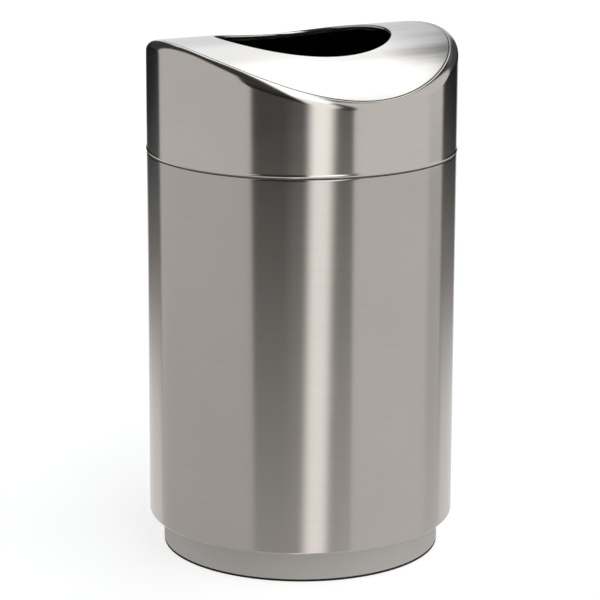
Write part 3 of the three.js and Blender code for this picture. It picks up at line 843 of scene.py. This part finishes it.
def inside_shade_coat():
    """Painted shade: a near-black matt stippled colour on the cover's inside, standing for the
    darkness within it.
    """
    material, tree, shader = new_material("inside_shade_coat")
    stipple = noise(tree, 420, 4)
    plug(tree, shader, {"Base Color": coloured(tree, stipple, (0.0012, 0.0012, 0.0013),
                                               (0.0045, 0.0045, 0.0048), 0, 1),
                        "Roughness": 0.85, "Specular IOR Level": 0.15,
                        "Normal": relief(tree, stipple, 0.6, 0.0006)})
    return material


# Where painted shade darkens the reflection on the top's high end, in metres along its crest (x),
# across it (y) and up (z), and how far along the crest its edge is painted darker.
SHADED_END_ALONG = (0.07, 0.21)
SHADED_END_ACROSS = (-0.15, -0.02)
SHADED_END_UP = (0.812, 0.831)
SHADED_EDGE_ALONG = (0.06, 0.2)


def dull(material):
    """Paints shade into the satin: a streaky darker reflection on the high end of the top, and darker
    steel at its edge and along the weld's dip.
    """
    tree = material.node_tree
    shader = tree.nodes["Principled BSDF"]
    place = node(tree, "TexCoord").outputs["Object"]
    x, y, z = node(tree, "SeparateXYZ", {0: place}).outputs
    crest, weld, edge = [node(tree, "Attribute", attribute_name=name).outputs["Fac"]
                         for name in ("crest_share", "weld_shade_share", "edge_shade_share")]
    # Painted shade: streaky darker steel on the high end of the top, standing for the darker
    # reflection there.
    high_end_shade = spread(tree, noise(tree, 1, 3, (3, 34, 6)), 1, 0.7, 0.38, 0.64)
    for limit in (spread(tree, x, 0, 1, *SHADED_END_ALONG), spread(tree, y, 1.4, 0.55, *SHADED_END_ACROSS),
                  spread(tree, z, 0, 1, *SHADED_END_UP), crest):
        high_end_shade = calc(tree, "MULTIPLY", high_end_shade, limit)
    # Painted shade along the top's edge, on the high end only.
    edge = calc(tree, "MULTIPLY", edge, spread(tree, x, 0, 1, *SHADED_EDGE_ALONG))
    # Painted shade: the colour is mixed towards darker steel where each mask is 1.
    colour = shader.inputs["Base Color"].links[0].from_socket
    for share, level in ((high_end_shade, 0.31), (edge, 0.3), (weld, 0.12)):
        colour = mix(tree, share, colour, (*shaded(level), 1), "RGBA")
    plug(tree, shader, {"Base Color": colour})


# The cover's satin is painted lighter, level 1.12: painted light, for how bright its reflections show.
cover_satin = satin("satin_cover", 1.12, "crest_share")
# The cover's satin gets painted shade on its high end, along its edge and on its weld.
dull(cover_satin)
dressed_cover = piece(cover, "cover_sheet", cover_satin, "cover",
                      ["cover_skirt", "top_panel"])
# The cover's inside gets the near-black painted shade.
dressed_cover.data.materials.append(inside_shade_coat())

# ---------------------------------------------------------------- locating ring
# A stepped band of mill-finish stainless, spot-welded inside the cover. Its lower half reaches
# down into the body's mouth and centres the cover.

ring_low, ring_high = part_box("locating_ring")
ring_neck = 0.2412
locator = bmesh.new()
wire(locator, [(ring_neck, ring_low.z, 0),
               (ring_neck, skirt_low.z, BEND),
               (ring_high.x, skirt_low.z, BEND),
               (ring_high.x, ring_high.z, 0)])
turn(locator)
wall(locator, SHEET)
piece(locator, "stepped_ring", MILL, "cover", ["locating_ring"])

# ---------------------------------------------------------------- floor and light
# A pale floor on a white background. The light is a studio that shows only in the steel: a broad
# soft box on each side, a narrow strip in front, and dark cloths and flags between and behind.

FLOOR_HALF = 20
FLOOR_GLOW = 0.67
floor_bm = bmesh.new()
bmesh.ops.create_grid(floor_bm, x_segments=1, y_segments=1, size=FLOOR_HALF)
floor_mesh = bpy.data.meshes.new("floor")
floor_bm.to_mesh(floor_mesh)
floor_bm.free()
floor = bpy.data.objects.new("floor", floor_mesh)
bpy.context.scene.collection.objects.link(floor)
floor.visible_glossy = False
pale, floor_tree, floor_shader = new_material("pale_floor")
floor_seen = node(floor_tree, "LightPath").outputs["Is Camera Ray"]
glow = calc(floor_tree, "MULTIPLY", floor_seen, FLOOR_GLOW)
plug(floor_tree, floor_shader, {"Base Color": (0.75, 0.75, 0.75, 1), "Roughness": 0.9,
                                "Specular IOR Level": 0, "Emission Color": (1, 1, 1, 1),
                                "Emission Strength": glow})
floor_mesh.materials.append(pale)

CAMERA_TURN = math.radians(28)
WARM_DARK = (0.042, 0.040, 0.036)
DARK_CLOTH = (0.020, 0.018, 0.016)
BLACK_CLOTH = (0.015, 0.015, 0.016)
DAYLIGHT = (0.93, 0.98, 1.02)
WALL_TOP = -10
LEFT_BOX_END = -130
RIGHT_BOX_END = 127
BOX_SOFT = 0.8

world = bpy.data.worlds.new("studio")
bpy.context.scene.world = world
world.use_nodes = True
sky = world.node_tree


def degrees(operation, *values):
    """An angle worked out from the parts of a direction."""
    return calc(sky, "DEGREES", calc(sky, operation, *values))


def leaning(angle, share, other):
    """An angle that moves along by a share of another one."""
    return calc(sky, "MULTIPLY_ADD", other, share, angle)


# Directions as seen from the camera's side: right, back (away from the camera) and up. From them
# come the turn away from the camera, the height above the horizon and the tilt to the right.
toward = node(sky, "Mapping", {"Vector": node(sky, "TexCoord").outputs["Generated"],
                               "Rotation": (0, 0, CAMERA_TURN)}, vector_type="POINT")
right, back, up = node(sky, "SeparateXYZ", {0: toward.outputs["Vector"]}).outputs
turned = degrees("ARCTAN2", right, calc(sky, "MULTIPLY", back, -1))
height = degrees("ARCSINE", up)
tilt = degrees("ARCTAN2", right, up)
strip_tilt = degrees("ARCTAN2", leaning(right, 0.11, back), up)


def above(angle, edge, soft):
    """0 below an edge and 1 above it, with a softness of so many degrees to each side."""
    return node(sky, "MapRange", {"Value": angle, "From Min": edge - soft, "From Max": edge + soft},
                interpolation_type="SMOOTHSTEP").outputs["Result"]


def below(angle, edge, soft):
    """1 below an edge and 0 above it."""
    return above(angle, edge, -soft)


def behind(half_width, soft):
    """1 around the direction straight behind the receptacle."""
    return below(calc(sky, "SUBTRACT", 180, calc(sky, "ABSOLUTE", turned)), half_width, soft)


def card(light, name, colour, *edges):
    """Lays a card of one colour over the light so far, where all its edges are 1."""
    share = edges[0]
    for edge in edges[1:]:
        share = calc(sky, "MULTIPLY", share, edge)
    laid = mix(sky, share, light, (*colour, 1), "RGBA")
    laid.node.label = name
    return laid


def grey(level):
    """A card without a tint."""
    return (level, level, level)


def cool(level):
    """White with a touch of blue, as of daylight through cloth."""
    return [level * value for value in DAYLIGHT]


def plain(colour):
    """The same light from every direction."""
    made = node(sky, "RGB").outputs[0]
    made.default_value = (*colour, 1)
    return made


# Below and above the top of the walls the cards lean, as flat cards seen from the middle do.
dip = calc(sky, "MINIMUM", calc(sky, "SUBTRACT", height, WALL_TOP), 0)
rise = calc(sky, "MAXIMUM", calc(sky, "SUBTRACT", height, WALL_TOP), 0)
left_lean = leaning(turned, 0.35, dip)
left_slope = leaning(height, 0.2, turned)
right_lean = leaning(turned, -0.2, rise)
front_lean = leaning(turned, -0.42, dip)
front_spread = leaning(front_lean, -0.3, rise)
strip_left = leaning(strip_tilt, -9, back)
strip_right = leaning(strip_tilt, 14, calc(sky, "MINIMUM", back, 0))
over_horizon = above(height, -11.5, 1.5)
past_left_box = below(turned, LEFT_BOX_END, BOX_SOFT)
past_right_box = above(turned, RIGHT_BOX_END, BOX_SOFT)
before_right_end = below(turned, RIGHT_BOX_END, BOX_SOFT)

studio = plain(WARM_DARK)
studio = card(studio, "left soft box", grey(0.53), above(left_lean, LEFT_BOX_END, BOX_SOFT),
              below(left_lean, -37.2, BOX_SOFT), below(tilt, -27, 6))
studio = card(studio, "front cloth", DARK_CLOTH, above(turned, -37, 2), below(turned, 6, 2),
              over_horizon, below(height, 20, 6))
studio = card(studio, "low card", grey(0.16), above(turned, -9, 5), below(turned, 38, 1),
              above(height, -17, 3), below(height, -11.1, 0.4))
studio = card(studio, "right soft box", grey(0.63), above(right_lean, 38, BOX_SOFT),
              before_right_end, above(tilt, 26, 4))
studio = card(studio, "foot of the right box", grey(0.44), above(turned, 108, 4),
              before_right_end, above(height, -40, 1), below(height, -10.5, 0.7))
studio = card(studio, "backdrop", cool(0.84), behind(15, 3), above(height, -40, 1),
              below(height, 33, 3))
studio = card(studio, "strip overhead", cool(1.6), above(strip_left, 6, 2),
              below(strip_right, 21.5, 1.5), above(height, 28, 7))
studio = card(studio, "strip's rear end", cool(1.6), above(strip_tilt, 12, 1),
              below(strip_tilt, 26.8, 1.2), above(height, 28, 7), below(height, 60, 1.2),
              above(back, 0.1, 0.05))
studio = card(studio, "tall card", cool(1.15), behind(7, 2), above(height, 20, 4),
              below(height, 52, 4))
studio = card(studio, "rear card", cool(0.33), above(turned, 140, 4), below(turned, 170, 3),
              above(height, 18, 5), below(height, 40, 4))
studio = card(studio, "left flag", grey(0.045), above(turned, -171, 2), past_left_box,
              over_horizon, below(height, 28, 6))
studio = card(studio, "skirt of the left flag", grey(0.045), above(turned, -165, 2),
              past_left_box, above(left_slope, -43.1, 1), below(left_slope, -37, 1))
studio = card(studio, "left cloth", BLACK_CLOTH, above(turned, -165, 4), past_left_box,
              over_horizon, below(height, 2, 3))
studio = card(studio, "right flag", grey(0.065), past_right_box, below(turned, 163, 4),
              over_horizon, below(height, 36, 6))
studio = card(studio, "right cloth", BLACK_CLOTH, past_right_box, below(turned, 162, 3),
              over_horizon, below(height, 4, 3))

# The floor's own paleness, as the steel shows it towards the bottom: darker in front.
floor_tone = card(plain(grey(0.62)), "floor in front", grey(0.48), below(turned, 24, 12))
floor_tone = card(floor_tone, "floor behind", grey(0.85), behind(50, 12))
studio = mix(sky, below(height, -16.5, 7), studio, floor_tone, "RGBA")
studio = card(studio, "floor at the edges", grey(0.75), behind(50, 4), below(height, -15.3, 1.8))
studio = card(studio, "front strip", grey(1.11), above(front_lean, 6.5, 4.5),
              below(front_spread, 23, 4.5), below(height, 38, 8))

seen = node(sky, "LightPath").outputs["Is Camera Ray"]
plug(sky, sky.nodes["Background"], {"Color": mix(sky, seen, studio, (1, 1, 1, 1), "RGBA")})

# ---------------------------------------------------------------- camera
# A long lens over four metres off, a little above the receptacle's top. It looks down by 14 degrees,
# from 28 degrees round to the left of the front.

CAMERA_DISTANCE = 4.346
CAMERA_HEIGHT = 1.517
CAMERA_DOWN = 0.2466
CAMERA_ROLL = 0.004
CAMERA_LENS = 161.7
CAMERA_SENSOR = 36
CAMERA_SHIFT_X = -0.0020
CAMERA_SHIFT_Y = -0.0108
CAMERA_CLIP = 100
camera_data = bpy.data.cameras.new("camera")
camera_data.sensor_width = CAMERA_SENSOR
camera_data.lens = CAMERA_LENS
camera_data.shift_x = CAMERA_SHIFT_X
camera_data.shift_y = CAMERA_SHIFT_Y
camera_data.clip_end = CAMERA_CLIP
camera = bpy.data.objects.new("camera", camera_data)
bpy.context.scene.collection.objects.link(camera)
camera.location = (-CAMERA_DISTANCE * math.sin(CAMERA_TURN),
                   -CAMERA_DISTANCE * math.cos(CAMERA_TURN), CAMERA_HEIGHT)
camera.rotation_euler = (Matrix.Rotation(-CAMERA_TURN, 3, "Z")
                         @ Matrix.Rotation(math.pi / 2 - CAMERA_DOWN, 3, "X")
                         @ Matrix.Rotation(CAMERA_ROLL, 3, "Z")).to_euler()
bpy.context.scene.camera = camera
bpy.context.scene.view_settings.view_transform = "Standard"
